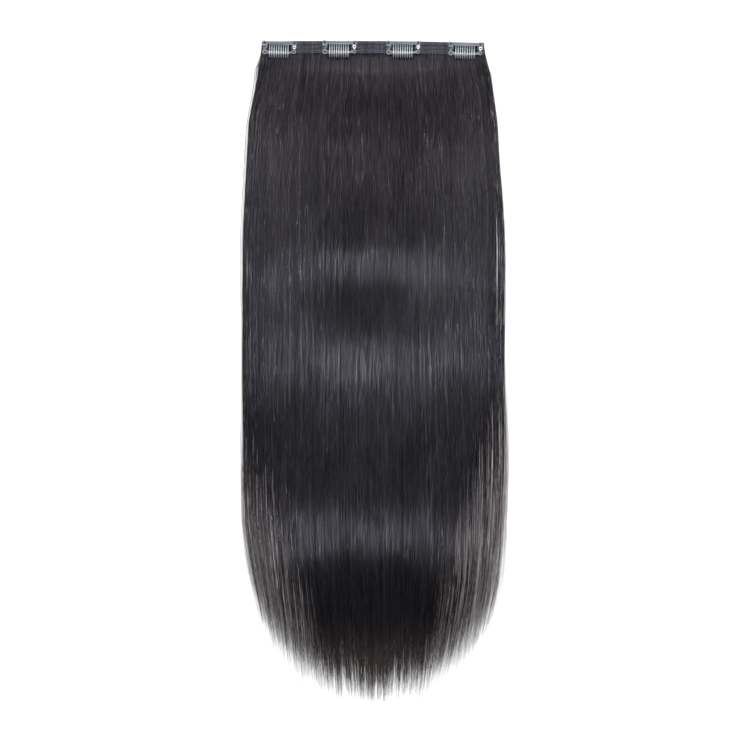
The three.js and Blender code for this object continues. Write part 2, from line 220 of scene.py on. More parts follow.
# %% Swells of the curtain
SLOPES = {
    "along": [
        0.026, 0.073, 0.12, 0.166, 0.229, 0.272, 0.29, 0.3, 0.325, 0.345, 0.361,
        0.384, 0.415, 0.439, 0.454, 0.475, 0.501, 0.524, 0.54, 0.563, 0.602, 0.649,
        0.695, 0.719, 0.734, 0.753, 0.769, 0.781, 0.797, 0.82, 0.851, 0.913, 1.0,
    ],
    "middle": [
        -0.05, -0.05, -0.035, 0.008, -0.014, -0.06, -0.05, 0.04, 0.095, 0.05, -0.025,
        -0.04, -0.02, 0.01, 0.07, 0.085, 0.07, 0.045, 0.02, 0.003, -0.002, -0.01,
        -0.015, 0.02, 0.1, 0.11, 0.1, 0.01, -0.05, -0.085, -0.09, -0.075, -0.06,
    ],
    "side": [
        -0.05, -0.05, -0.035, 0.01, -0.012, -0.05, -0.03, 0.075, 0.15, 0.1, 0.038,
        0.03, 0.042, 0.06, 0.09, 0.095, 0.06, 0.03, 0.012, 0.003, -0.002, -0.002,
        0.005, 0.04, 0.11, 0.13, 0.12, 0.07, 0.02, -0.03, -0.07, -0.07, -0.06,
    ],
}
SIDE_START = 0.6  # of the middle's height below the band
SIDE_FROM = 0.2  # of the half width, where the sides' slopes begin to count
SIDE_BLEND = 0.4  # and over how much of it they take over
ROOTED = 0.026  # of the hair's length, over which it rises from the pressed roots
HOLLOW = (-0.31, 0.428, 0.13, 0.045, 1.5 * MM)  # a shallow dip: across, along, its two spreads, its depth
HEAVES = [  # size, waves along, turns across, phase
    (0.16 * MM, 6.3, 1.7, 0.5),
    (0.12 * MM, 9.7, -2.9, 2.2),
    (0.07 * MM, 15.3, 5.3, 4.0),
]
STEPS = np.linspace(0, 1, 601)


def summed(start, slopes):
    slope = smooth(np.interp(STEPS, SLOPES["along"], slopes), 3)
    return start + np.cumsum(slope) * HAIR_LENGTH / (len(STEPS) - 1)


TREND = 60  # steps over which the swells are smoothed away
MIDDLE = summed(SHOULDER, SLOPES["middle"])
SIDE = summed(SHOULDER * SIDE_START, SLOPES["side"])
MIDDLE_TREND = smooth(MIDDLE, TREND)
SIDE_TREND = smooth(SIDE, TREND)


def ease(share):
    """From 0 to 1 with a soft start and end."""
    share = np.clip(share, 0, 1)
    return share * share * (3 - 2 * share)


def hair_height(across, along):
    """Top of the curtain, across as a share of its half width, along from the band (0) to the tips (1)."""
    outer = np.clip((abs(across) - SIDE_FROM) / SIDE_BLEND, 0, 1)

    def mixed(middle, side):
        return np.interp(along, STEPS, middle) * (1 - outer) + np.interp(along, STEPS, side) * outer

    trend = mixed(MIDDLE_TREND, SIDE_TREND)
    at, down, wide, long, depth = HOLLOW
    dip = depth * np.exp(-(((across - at) / wide) ** 2) - ((along - down) / long) ** 2)
    swell = mixed(MIDDLE, SIDE) - trend - dip
    grown = np.clip(along / 0.1, 0, 1)
    for size, waves, turns, phase in HEAVES:
        swell = swell + size * np.sin(2 * np.pi * (waves * along + turns * across) + phase) * grown
    rooted = ease(along / ROOTED)
    form = 1 + (np.interp(across, READ_ACROSS, ACROSS_FORM) - 1) * rooted
    return ROOT_HEIGHT * (1 - rooted) + (trend * form + swell) * rooted


print("middle from", round(float(MIDDLE.min()), 4), "to", round(float(MIDDLE.max()), 4))
print("side from", round(float(SIDE.min()), 4), "to", round(float(SIDE.max()), 4))

# %% [markdown]
# The outline in the photograph: the hair fans out below the band, runs straight, and thins out at the hem,
# earlier at the sides than in the middle. The first table gives the half widths on the left and the right,
# the second how far down most strands reach at each place across, as shares of the hair's length.

# %% Outline of the hair
WIDEST = 131.5 * PIXEL  # half width of the hair in the photograph
OUTLINE = {
    "along": [
        -0.02, 0.0, 0.03, 0.073, 0.104, 0.166, 0.229, 0.291, 0.45,
        0.66, 0.727, 0.758, 0.789, 0.82, 0.851, 0.9, 1.0,
    ],
    "left": [
        0.84, 0.85, 0.874, 0.917, 0.95, 0.97, 0.977, 0.981, 0.983,
        0.992, 0.982, 0.965, 0.947, 0.925, 0.9, 0.86, 0.8,
    ],
    "right": [
        0.84, 0.855, 0.897, 0.93, 0.95, 0.965, 0.988, 0.997, 0.992,
        1.0, 0.994, 0.99, 0.985, 0.975, 0.955, 0.91, 0.83,
    ],
}
REACH = {
    "across": [0.0, 0.45, 0.6, 0.72, 0.8, 0.88, 0.94, 0.98, 1.0],
    "tip": [0.988, 0.972, 0.96, 0.945, 0.933, 0.92, 0.904, 0.89, 0.87],
}
WISP_REACH = 0.034  # how much further the thin ends go


def by_side(side, along, table):
    """A table's left or right value, for places down the hair."""
    left, right = (np.interp(along, table["along"], table[name]) for name in ("left", "right"))
    return np.where(side < 0, left, right)


def half_width(side, along):
    return WIDEST * by_side(side, along, OUTLINE)


def reach_at(across):
    return np.interp(abs(across), REACH["across"], REACH["tip"])


# %% [markdown]
# Fine strands are too many to model by hand. They are worked out as arrays: each strand is a row of places
# from the band to its tip, and a thin closed tube with three sides is wound round it. All tubes of a layer
# make one mesh. Each strand also gets its own column in a UV map, with its length up the column, so that the
# colour can differ from strand to strand and from root to tip, and still be baked into a small picture.

# %% Tubes from rows of places
TONES = 96  # columns in the strands' UV map
STRAND_MAP = "OFBake"


def tubes(name, paths, radii, tones, sides=3, turn=None):
    """One mesh of closed tubes. paths is strands x places x 3, radii strands x places, tones from 0 to 1."""
    count, places, _ = paths.shape
    along = np.gradient(paths, axis=1)
    along /= np.linalg.norm(along, axis=2, keepdims=True) + 1e-12
    side = np.cross(along, np.array([0.0, 0.0, 1.0]))
    flat = np.linalg.norm(side, axis=2, keepdims=True)
    side = np.where(flat > 1e-3, side / (flat + 1e-12), np.array([1.0, 0.0, 0.0]))
    up = np.cross(side, along)
    turn = np.zeros(count) if turn is None else turn
    angles = turn[:, None] + 2 * np.pi * np.arange(sides)[None, :] / sides
    ring = np.cos(angles)[:, None, :, None] * side[:, :, None, :]
    ring = ring + np.sin(angles)[:, None, :, None] * up[:, :, None, :]
    corners = (paths[:, :, None, :] + radii[:, :, None, None] * ring).reshape(-1, 3)
    index = np.arange(count * places * sides).reshape(count, places, sides)
    after = np.roll(index, -1, axis=2)
    walls = np.stack([index[:, :-1], index[:, 1:], after[:, 1:], after[:, :-1]], axis=-1).reshape(-1, 4)
    first = index[:, 0].reshape(-1, sides)
    last = index[:, -1, ::-1].reshape(-1, sides)
    sizes = np.concatenate([np.full(len(walls), 4), np.full(2 * count, sides)])
    flat_index = np.concatenate([walls.ravel(), first.ravel(), last.ravel()])
    mesh = bpy.data.meshes.new(name)
    mesh.vertices.add(len(corners))
    mesh.vertices.foreach_set("co", corners.astype(np.float32).ravel())
    mesh.loops.add(len(flat_index))
    mesh.loops.foreach_set("vertex_index", flat_index.astype(np.int32))
    mesh.polygons.add(len(sizes))
    mesh.polygons.foreach_set("loop_start", np.concatenate([[0], np.cumsum(sizes)[:-1]]).astype(np.int32))
    mesh.update(calc_edges=True)
    mesh.polygons.foreach_set("use_smooth", np.ones(len(sizes), bool))
    column = (np.round(np.clip(tones, 0, 1) * (TONES - 1)) + 0.15) / TONES  # with a margin in each column
    step = 0.7 / TONES / sides
    run = np.cumsum(np.linalg.norm(np.diff(paths, axis=1, prepend=paths[:, :1]), axis=2), axis=1)
    share = 0.02 + 0.96 * run / run[:, -1:]  # with room for the caps at both ends
    u_low = column[:, None, None] + step * np.arange(sides)[None, None, :]
    u_low = np.broadcast_to(u_low, (count, places - 1, sides))
    v_low = np.broadcast_to(share[:, :-1, None], u_low.shape)
    v_high = np.broadcast_to(share[:, 1:, None], u_low.shape)
    wall_uv = np.stack(
        [np.stack([u_low, v_low], -1), np.stack([u_low, v_high], -1),
         np.stack([u_low + step, v_high], -1), np.stack([u_low + step, v_low], -1)], axis=-2,
    ).reshape(-1, 2)
    cap_u = (column[:, None] + step * np.arange(sides)[None, :]).reshape(-1)
    cap_v = 0.004 * (np.arange(count * sides) % sides == 1)
    cap_uv = np.concatenate([np.stack([cap_u, 0.005 + cap_v], -1), np.stack([cap_u, 0.985 + cap_v], -1)])
    layer = mesh.uv_layers.new(name=STRAND_MAP)
    layer.data.foreach_set("uv", np.concatenate([wall_uv, cap_uv]).astype(np.float32).ravel())
    piece = bpy.data.objects.new(name, mesh)
    bpy.context.collection.objects.link(piece)
    return piece


def triangles(piece):
    return sum(len(p.vertices) - 2 for p in piece.data.polygons)


added = 0


def dress(piece, material, body="weft", replaces=None):
    """Give a finished piece its material and the body that carries it."""
    global added
    piece.data.materials.append(material)
    if body:
        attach(piece, body)
    if replaces:
        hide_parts(replaces)
    added += triangles(piece)
    print(piece.name, triangles(piece), "triangles")
    return piece


# %% [markdown]
# The hair is a near black fibre with a brown or a violet cast and a narrow gloss, a little paler and warmer
# at the tip. The column of the UV map picks the tone, its height the place along the strand.

# %% Material of the strands
def new_material(name):
    made = bpy.data.materials.new(name)
    made.use_nodes = True
    return made, made.node_tree, made.node_tree.nodes["Principled BSDF"]


def add_node(tree, kind, sockets, **settings):
    node = tree.nodes.new("ShaderNode" + kind)
    for setting, value in settings.items():
        setattr(node, setting, value)
    feed(node, sockets, tree.links)
    return node


def ramp(tree, value, stops):
    """Colour ramp of a value. A stop's colour is three shares, or one for a grey."""
    node = add_node(tree, "ValToRGB", {"Fac": value})
    while len(node.color_ramp.elements) < len(stops):
        node.color_ramp.elements.new(0.5)
    for element, (place, colour) in zip(node.color_ramp.elements, stops):
        element.position = place
        element.color = (*(colour if isinstance(colour, tuple) else (colour,) * 3), 1)
    return node.outputs["Color"]


def calculate(tree, kind, first, second=0.0):
    return add_node(tree, "Math", {0: first, 1: second}, operation=kind).outputs[0]


def mix(tree, kind, factor, first, second):
    sockets = {"Factor": factor, "A": first, "B": second}
    return add_node(tree, "Mix", sockets, data_type="RGBA", blend_type=kind).outputs["Result"]


def noise(tree, where, scale, detail):
    return add_node(tree, "TexNoise", {"Vector": where, "Scale": scale, "Detail": detail}).outputs["Fac"]


def bump(tree, height, strength, distance):
    sockets = {"Height": height, "Strength": strength, "Distance": distance}
    return add_node(tree, "Bump", sockets).outputs["Normal"]


def spread(tree, value, low, high, start=0.0, end=1.0):
    """A value from start to end, turned into one from low to high."""
    sockets = {"Value": value, "From Min": start, "From Max": end, "To Min": low, "To Max": high}
    return add_node(tree, "MapRange", sockets).outputs["Result"]


def strand_material(
    name, tones, tip_tint, dullest, glossiest, level=0.5, root_tint=None, tip_from=0.9, tip_share=1.0
):
    made, tree, shader = new_material(name)
    where = add_node(tree, "UVMap", {}, uv_map=STRAND_MAP)
    split = add_node(tree, "SeparateXYZ", {0: where.outputs["UV"]})
    strand, height = split.outputs["X"], split.outputs["Y"]
    tip = ramp(tree, height, [(0.0, 0), (tip_from, 0), (0.97, tip_share)])
    tinted = mix(tree, "MIX", tip, ramp(tree, strand, tones), (*tip_tint, 1))
    if root_tint:
        root = ramp(tree, height, [(0.02, 0), (0.035, 0.7), (0.22, 0.7), (0.34, 0)])
        tinted = mix(tree, "MIX", root, tinted, (*root_tint, 1))
    column = calculate(tree, "FLOOR", calculate(tree, "MULTIPLY", strand, TONES))
    apart = calculate(tree, "MULTIPLY", column, 7.31)  # so that neighbouring columns don't match

    def along_noise(turns, detail):
        spot = add_node(tree, "CombineXYZ", {"X": apart, "Y": calculate(tree, "MULTIPLY", height, turns)})
        return noise(tree, spot.outputs["Vector"], 1.0, detail)

    shade = ramp(tree, along_noise(9, 2), [(0.3, 0.7), (0.7, 1.3)])
    gloss = spread(tree, along_noise(7, 1), dullest, glossiest, 0.35, 0.65)
    pressed = ramp(tree, height, [(0.0, 0.2), (0.04, 0.2), (0.1, 0)])  # the roots are dull
    look = {
        "Base Color": mix(tree, "MULTIPLY", 1.0, tinted, shade),
        "Roughness": calculate(tree, "ADD", gloss, pressed),
        "Normal": bump(tree, along_noise(34, 0), 1.0, 1.3 * MM),
        "Specular IOR Level": level,
        "Specular Tint": (0.87, 0.83, 1.0, 1),
    }
    feed(shader, look, tree.links)
    return made


hair_finish = strand_material(
    "hair_finish",
    [(0.0, (0.0015, 0.0015, 0.0025)), (0.3, (0.0025, 0.0024, 0.0042)), (0.55, (0.0045, 0.0038, 0.005)),
     (0.8, (0.008, 0.0058, 0.0055)), (1.0, (0.022, 0.016, 0.013))],
    (0.1, 0.075, 0.068),
    dullest=0.3, glossiest=0.18, level=1.0, root_tint=(0.0095, 0.0064, 0.0045),
)
# Most strands lie under the topmost ones and get this duller copy. Its darker tones are painted shade, for the
# shade deeper in the curtain.
deep_shaded_finish = strand_material(
    "deep_shaded_finish",
    [(0.0, (0.001, 0.001, 0.0018)), (0.5, (0.0025, 0.0023, 0.0034)), (1.0, (0.0065, 0.0048, 0.0048))],
    (0.09, 0.067, 0.06),
    dullest=0.42, glossiest=0.26, level=0.45, root_tint=(0.008, 0.0055, 0.004),
)
# Near black and dull, for the mat under the combs: mostly painted shade, partly dark roots.
roots_and_shade_finish = strand_material(
    "roots_and_shade_finish",
    [(0.0, (0.001, 0.001, 0.0015)), (1.0, (0.004, 0.0038, 0.0048))],
    (0.003, 0.003, 0.004),
    dullest=0.85, glossiest=0.7, level=0.1,
)
# Pale brown to near white: the browner tones are the hair's own, the palest ones are painted highlight.
outer_tone_and_glint_finish = strand_material(
    "outer_tone_and_glint_finish",
    [(0.0, (0.006, 0.0045, 0.004)), (0.45, (0.035, 0.026, 0.023)), (0.75, (0.14, 0.115, 0.108)),
     (1.0, (0.7, 0.67, 0.66))],
    (0.6, 0.55, 0.54),
    dullest=0.4, glossiest=0.25, level=0.8, tip_from=0.25, tip_share=0.4,
)

# %% [markdown]
# Under the strands the curtain needs a body that hides the table, or bright specks would show between them.
# It is a grid laid over the curtain's form, a little below the strands, with fine ridges that run down like
# hair. At the sides and the hem it stops well before the strands do, because there the real hair thins out.

# %% Core of the curtain
CORE_HEIGHT = 0.62  # of the curtain
CORE = {
    "along": [-0.012, 0.1, 0.5, 0.58, 0.66, 0.72, 0.78, 0.9, 1.0],
    "left": [0.95, 0.95, 0.95, 0.93, 0.86, 0.74, 0.64, 0.6, 0.56],
    "right": [0.95, 0.95, 0.93, 0.86, 0.76, 0.64, 0.56, 0.53, 0.5],
}
CORE_END = 0.915
bpy.ops.object.select_all(action="DESELECT")
bpy.ops.mesh.primitive_grid_add(x_subdivisions=150, y_subdivisions=56, size=2)
core = bpy.context.object
core.name = "hair_core"
bpy.ops.object.mode_set(mode="EDIT")
bpy.ops.mesh.extrude_region_move(TRANSFORM_OT_translate={"value": (0, 0, -1)})
bpy.ops.mesh.select_all(action="SELECT")
bpy.ops.mesh.normals_make_consistent(inside=False)
bpy.ops.object.mode_set(mode="OBJECT")
grid = np.array([v.co for v in core.data.vertices])
across = grid[:, 0]
down = (1 - grid[:, 1]) / 2
hem = CORE_END - 0.012 * np.sin(23 * across) * np.sin(7 * across + 1) - 0.05 * abs(across) ** 2
along = CORE["along"][0] + (hem - CORE["along"][0]) * down
share = across * by_side(across, along, CORE)
x = share * half_width(across, along)
y = band_low(x) - HAIR_LENGTH * along
ridge = 0.25 * MM * np.sin(60 * across + 3 * along) * np.sin(97 * across - 2 * along + 1)
edge = np.clip((1 - abs(across)) / 0.06, 0, 1) * np.clip((1 - down) / 0.06, 0, 1)
top = hair_height(share, along) * CORE_HEIGHT * (0.35 + 0.65 * edge) + ridge * np.clip(along / 0.05, 0, 1)
top = np.where(along < 0.03, np.minimum(top, ROOT_HEIGHT * 0.75), top)
z = np.where(grid[:, 2] < -0.5, 0.1 * MM, np.maximum(top, 0.4 * MM))
core.data.vertices.foreach_set("co", np.stack([x, y, z], axis=-1).astype(np.float32).ravel())
core.data.update()
for polygon in core.data.polygons:
    polygon.use_smooth = abs(polygon.normal.z) > 0.2


def stretched_noise(tree, stretch):
    place = add_node(tree, "TexCoord", {}).outputs["Object"]
    stretched = add_node(tree, "Mapping", {"Vector": place, "Scale": stretch}).outputs["Vector"]
    return noise(tree, stretched, 1.0, 3.0)


core_finish, tree, shader = new_material("core_finish")
streaks = stretched_noise(tree, (2200, 30, 200))
tone = ramp(tree, streaks, [(0.35, (0.002, 0.0019, 0.0025)), (0.65, (0.006, 0.005, 0.0055))])
feed(shader, {"Base Color": tone, "Roughness": 0.55, "Specular IOR Level": 0.3}, tree.links)
dress(core, core_finish, replaces="hair_curtain")

# %% [markdown]
# Loose hair isn't evenly spread. Strands gather in narrow clumps that wander a little and draw together
# towards their ends, and some strands stray from them. A strand is placed by its share across the band, its
# depth in the curtain and where its tip lies. Waves that neighbours share keep the flow combed, and small
# waves of its own keep it from looking machined.

# %% Lay strands
BUNDLES = 58
CLUMPS = 330
FLOOR_GAP = 0.3 * MM
CLUMP_REACH = 0.0035  # how far a strand is drawn to its clump at most, in shares across
BUNDLE_REACH = 0.012
ENDING = 0.12  # of the hair's length, where a strand thins and sinks to the table
SPLAY = 1.0 * MM  # how far tips spread apart there
LEAN = 2.0 * MM  # and how far those at the sides lean inwards
rng = np.random.default_rng(20240517)


def scatter(count, stray):
    return np.clip(np.linspace(-0.995, 0.995, count) + rng.uniform(-stray, stray, count), -0.999, 0.999)


bundle_across = scatter(BUNDLES, 0.014)
bundle_phase = rng.uniform(0, 2 * np.pi, (BUNDLES, 2))
bundle_wander = rng.uniform(0.3, 1.1, BUNDLES) * MM
bundle_pull = rng.uniform(0.04, 0.2, BUNDLES)
bundle_drop = rng.uniform(-0.003, 0.005, BUNDLES)
bundle_lift = rng.uniform(-0.7, 0.0, BUNDLES) * MM
clump_across = np.sort(rng.uniform(-1, 1, CLUMPS))
clump_phase = rng.uniform(0, 2 * np.pi, (CLUMPS, 2))
clump_wander = rng.uniform(0.05, 0.35, CLUMPS) * MM
clump_pull = rng.uniform(0.3, 0.75, CLUMPS)
clump_drop = rng.uniform(-0.004, 0.006, CLUMPS)
clump_lift = rng.uniform(-0.45, 0.0, CLUMPS) * MM
clump_tone = np.clip(rng.normal(0.45, 0.24, CLUMPS), 0, 1)
clump_ripple = rng.uniform(0.15, 0.5, CLUMPS) * MM
clump_waves = rng.uniform(5, 9, CLUMPS)
FLOW = [  # waves that all strands share: size, waves along, turns across, phase
    (1.1 * MM, 1.1, 0.7, 0.4),
    (0.6 * MM, 2.3, -1.6, 2.0),
    (0.3 * MM, 4.1, 3.1, 4.4),
]
SPREAD = np.linspace(-0.1, 1.05, 400)
bend = abs(np.gradient(np.gradient(hair_height(0 * SPREAD + 0.05, np.clip(SPREAD, 0, 1)), SPREAD), SPREAD))
bend = np.minimum(bend, 8 * np.median(bend))
at_root = 1.1 * np.exp(-(((SPREAD - 0.016) / 0.018) ** 2))
PLACING = np.cumsum(0.3 + smooth(bend, 5) / bend.max() + at_root)  # more places where the curtain bends


def nearest(across, centres):
    return abs(across[:, None] - centres[None, :]).argmin(axis=1)


def lay(across, depth, tip, loose, radius, places, start=-0.012, stray=0.3 * MM, rise=0.0):
    """Places and radii of strands. across from -1 to 1, depth 0 at the table and 1 on top, loose 0 to 1.

    Strands that start below the band come up out of the curtain and grow to their thickness over rise.
    """
    count = len(across)
    share = np.linspace(0, 1, places)[None, :]
    first = np.interp(start * np.ones(count), SPREAD, PLACING)[:, None]
    last = np.interp(tip, SPREAD, PLACING)[:, None]
    along = np.interp(first + (last - first) * share, PLACING, SPREAD)
    risen = np.clip((along - along[:, :1]) / rise, 0, 1) if rise else np.ones_like(along)
    bundle, clump = nearest(across, bundle_across), nearest(across, clump_across)
    held = 1 - loose[:, None]
    grown = np.clip(along / 0.2, 0, 1)
    ending = np.clip((along - tip[:, None] + ENDING) / ENDING, 0, 1) ** 1.4
    fine_pull = clump_pull[clump][:, None] * (0.25 + 0.75 * grown) * (1 - 0.85 * ending) * held
    wide_pull = bundle_pull[bundle][:, None] * np.clip(along, 0, 1) ** 1.3 * (1 - 0.5 * ending) * held
    to_clump = np.clip(clump_across[clump] - across, -CLUMP_REACH, CLUMP_REACH)[:, None]
    to_bundle = np.clip(bundle_across[bundle] - across, -BUNDLE_REACH, BUNDLE_REACH)[:, None]
    gathered = across[:, None] + to_clump * np.clip(fine_pull, 0, 0.92)
    gathered = gathered + to_bundle * np.clip(wide_pull, 0, 0.75)
    x = gathered * half_width(across[:, None], along)
    for size, waves, turns, phase in FLOW:
        x = x + grown * size * np.sin(2 * np.pi * (waves * along + turns * across[:, None]) + phase)
    wave = np.sin(2 * np.pi * 1.6 * along + bundle_phase[bundle][:, :1])
    x = x + grown * bundle_wander[bundle][:, None] * wave * held
    wave = np.sin(2 * np.pi * 3.3 * along + clump_phase[clump][:, :1])
    x = x + grown * clump_wander[clump][:, None] * wave * held
    own = rng.uniform(0, 2 * np.pi, (count, 4))
    own_size = stray * rng.uniform(0.2, 1.0, (count, 1))
    x = x + grown * own_size * np.sin(2 * np.pi * rng.uniform(2, 6, (count, 1)) * along + own[:, :1])
    drift = rng.normal(0, 1, (count, 1)) * np.clip(along, 0, 1) ** 1.5
    x = x + drift * stray * (1 + 4 * loose[:, None])
    x = x + ending * (rng.normal(0, SPLAY, (count, 1)) - LEAN * across[:, None])
    y = band_low(x) - HAIR_LENGTH * along
    height = hair_height(across[:, None], along)
    lift = bundle_lift[bundle] + clump_lift[clump]
    top = height + grown * lift[:, None] * (height / 0.012)
    heave = clump_ripple[clump][:, None] * np.sin(
        2 * np.pi * clump_waves[clump][:, None] * along + clump_phase[clump][:, 1:]
    )
    top = top + grown * heave * held
    ripple = 0.12 * MM * np.sin(2 * np.pi * rng.uniform(3, 8, (count, 1)) * along + own[:, 1:2]) * grown
    room_above = np.clip(top - FLOOR_GAP, 0.3 * MM, None)
    settled = ending * 0.5
    z = FLOOR_GAP + depth[:, None] * (0.75 + 0.25 * risen) * room_above * (1 - settled) + ripple
    z = np.maximum(z, FLOOR_GAP)
    taper = np.interp(ending, [0, 0.3, 1.0], [1, 0.85, 0.25]) * (0.25 + 0.75 * risen)
    return np.stack([x, y, z], axis=-1), radius[:, None] * taper


def tips_for(across):
    """Where strands end: most near the reach, some go on as wisps, and at the sides many end early."""
    count = len(across)
    reach = reach_at(across)
    reach = reach - bundle_drop[nearest(across, bundle_across)] - clump_drop[nearest(across, clump_across)]
    tip = reach - abs(rng.normal(0, 0.048, count))
    wisp = rng.uniform(0, 1, count) < 0.2
    tip = np.where(wisp, reach + WISP_REACH * rng.uniform(0, 1, count) ** 1.3, tip)
    thin_from = np.where(across < 0, 0.5, 0.44)
    outer = np.clip((abs(across) - thin_from) / (0.97 - thin_from), 0, 1)
    early = rng.uniform(0, 1, count) < outer**0.6
    first = np.where(across < 0, 0.6, 0.48)
    tip = np.where(early, first + (reach - first) * rng.uniform(0, 1, count) ** (0.85 + 0.7 * outer**3), tip)
    return np.minimum(tip, 1.008)


def hair_piece(name, paths, radii, tones, finish):
    piece = tubes(name, paths, radii, tones, turn=rng.uniform(0, 2, len(paths)))
    return dress(piece, finish, replaces="hair_curtain")


def strand_layer(
    name, count, lowest, highest, loose_share, radius, places, finish, start=-0.012, thinned=0.0
):
    across = rng.uniform(-1, 1, count)
    across = (1 - thinned) * across + thinned * across**3
    depth = rng.uniform(lowest, highest, count)
    strays = rng.uniform(0, 1, count) < loose_share
    loose = np.where(strays, rng.uniform(0.5, 1, count), rng.uniform(0, 0.3, count))
    radii = radius * rng.uniform(0.7, 1.2, count)
    paths, radii = lay(across, depth, tips_for(across), loose, radii, places, start)
    tones = clump_tone[nearest(across, clump_across)] + rng.normal(0, 0.008, count)
    hair_piece(name, paths, radii, tones + 0.06 * np.sin(9 * across + 1), finish)


LOWER_START = 0.42  # the lower layers show at the hem alone
strand_layer("hair_under_layer", 1300, 0.15, 0.65, 0.3, 0.13 * MM, 9, deep_shaded_finish, LOWER_START, 0.5)
strand_layer("hair_middle_layer", 1500, 0.6, 0.88, 0.3, 0.12 * MM, 10, deep_shaded_finish, LOWER_START, 0.5)
strand_layer("hair_upper_layer", 1350, 0.84, 0.98, 0.2, 0.125 * MM, 22, deep_shaded_finish, thinned=0.2)
strand_layer("hair_top_layer_1", 1050, 0.93, 0.99, 0.2, 0.115 * MM, 30, deep_shaded_finish, thinned=0.15)
strand_layer("hair_top_layer_2", 1120, 0.97, 1.03, 0.3, 0.11 * MM, 30, hair_finish, thinned=0.1)
# %% [markdown]
# Along both sides more dark strands lie at every depth and end at different heights, so the outline frays.

# %% Dark strands along both sides
SIDE_STRANDS = 260
across = rng.uniform(0.84, 1, SIDE_STRANDS) * rng.choice([-1, 1], SIDE_STRANDS)
reach = reach_at(across) + WISP_REACH * rng.uniform(-0.5, 0.8, SIDE_STRANDS)
tip = 0.6 + (reach - 0.6) * rng.uniform(0, 1, SIDE_STRANDS) ** 0.6
radii = 0.12 * MM * rng.uniform(0.6, 1.2, SIDE_STRANDS)
depth = rng.uniform(0.1, 0.85, SIDE_STRANDS)
paths, radii = lay(across, depth, tip, rng.uniform(0.3, 1, SIDE_STRANDS), radii, 16)
hair_piece("hair_side_layer", paths, radii, rng.uniform(0, 1, SIDE_STRANDS), deep_shaded_finish)

# %% [markdown]
# Where the hair thins out at the sides of its lower half, single paler strands show. The further out, the
# higher up they come to the surface and the paler they are. Their palest, near white tones are painted
# highlight for the glints on thin hair and the light through it; the browner tones are the hair's own.

# %% Pale strands at the sides
PALE = 1150
BROAD = 0.13  # share of locks of several strands
across = rng.uniform(0, 1, PALE) ** 0.8 * rng.choice([-1, 1], PALE)
outer = abs(across)
across = np.sign(across) * (0.49 + 0.51 * outer)
start = 0.77 - 0.23 * outer + np.where(across < 0, 0.07, 0.0) + rng.normal(0, 0.045, PALE)
reach = reach_at(across) + WISP_REACH * rng.uniform(-0.5, 0.8, PALE)
tip = start + 0.08 + (reach - start - 0.08) * rng.uniform(0, 1, PALE) ** 0.6
across *= 1 + 0.02 * outer**4
broad = rng.uniform(0, 1, PALE) < BROAD
tones = np.where(broad, rng.uniform(0.8, 1, PALE), rng.uniform(0, 0.75, PALE) ** 1.3) * (0.85 + 0.15 * outer)
radii = np.where(broad, rng.uniform(0.12, 0.24, PALE), rng.uniform(0.06, 0.12, PALE)) * MM
paths, radii = lay(across, rng.uniform(0.85, 1.08, PALE), tip, np.ones(PALE), radii, 9, start, rise=0.06)
hair_piece("hair_pale_strands", paths, radii, tones, outer_tone_and_glint_finish)

# %% [markdown]
# At the hem the ends of the shortest strands fill the gaps between the longer ones, so it fades out softly.

# %% Fine ends at the hem
ENDS = 1500
across = rng.uniform(-1, 1, ENDS)
depth = rng.uniform(0.1, 0.9, ENDS)
radii = rng.uniform(0.04, 0.09, ENDS) * MM
start = rng.uniform(0.76, 0.84, ENDS)
tip = reach_at(across) + rng.uniform(-0.07, 0.5 * WISP_REACH, ENDS)
paths, radii = lay(across, depth, tip, rng.uniform(0.2, 1, ENDS), radii, 6, start, rise=0.03)
hair_piece("hair_hem_ends", paths, radii, clump_tone[nearest(across, clump_across)], deep_shaded_finish)

# %% [markdown]
# Along both sides a few thin strands lie apart from the rest. They leave the ends of the band, bow outwards
# and lie on the table beside the curtain, so they follow their own line near the band.

# %% Side strands
def side_strands(name, count, side, widest, depth_to, bulge):
    across = side * rng.uniform(0.95, widest, count)
    tip = rng.uniform(0.2, 0.86, count)
    loose = np.ones(count)
    radii = rng.uniform(0.05, 0.09, count) * MM
    paths, radii = lay(across, rng.uniform(0.05, depth_to, count), tip, loose, radii, 30, stray=0.15 * MM)
    along = (band_low(paths[:, :, 0]) - paths[:, :, 1]) / HAIR_LENGTH
    leaving = ease((along + 0.012) / 0.05)
    end = (BAND_LEFT if side < 0 else BAND_RIGHT) - side * rng.uniform(0.2, 2.5, (count, 1)) * MM
    paths[:, :, 0] = end * (1 - leaving) + paths[:, :, 0] * leaving
    bow = side * bulge * np.exp(-(((along - 0.02) / 0.022) ** 2))
    paths[:, :, 0] += bow * rng.uniform(0.8, 1.1, (count, 1))
    hair_piece(name, paths, radii, rng.uniform(0, 0.8, count), hair_finish)


side_strands("side_strands_left", 40, -1, 1.016, 0.5, 3.0 * MM)
side_strands("side_strands_right", 34, 1, 1.002, 0.5, 1.1 * MM)

# %% [markdown]
# The band is hair folded over at the top and sewn down with three rows of machine stitching. Its pressed
# tracks are solids of the model. Short strands run over them and round the top edge, which frays it a little,
# and the stitches are thread beads, each one tilted a little, as the twist of a sewing thread lies.

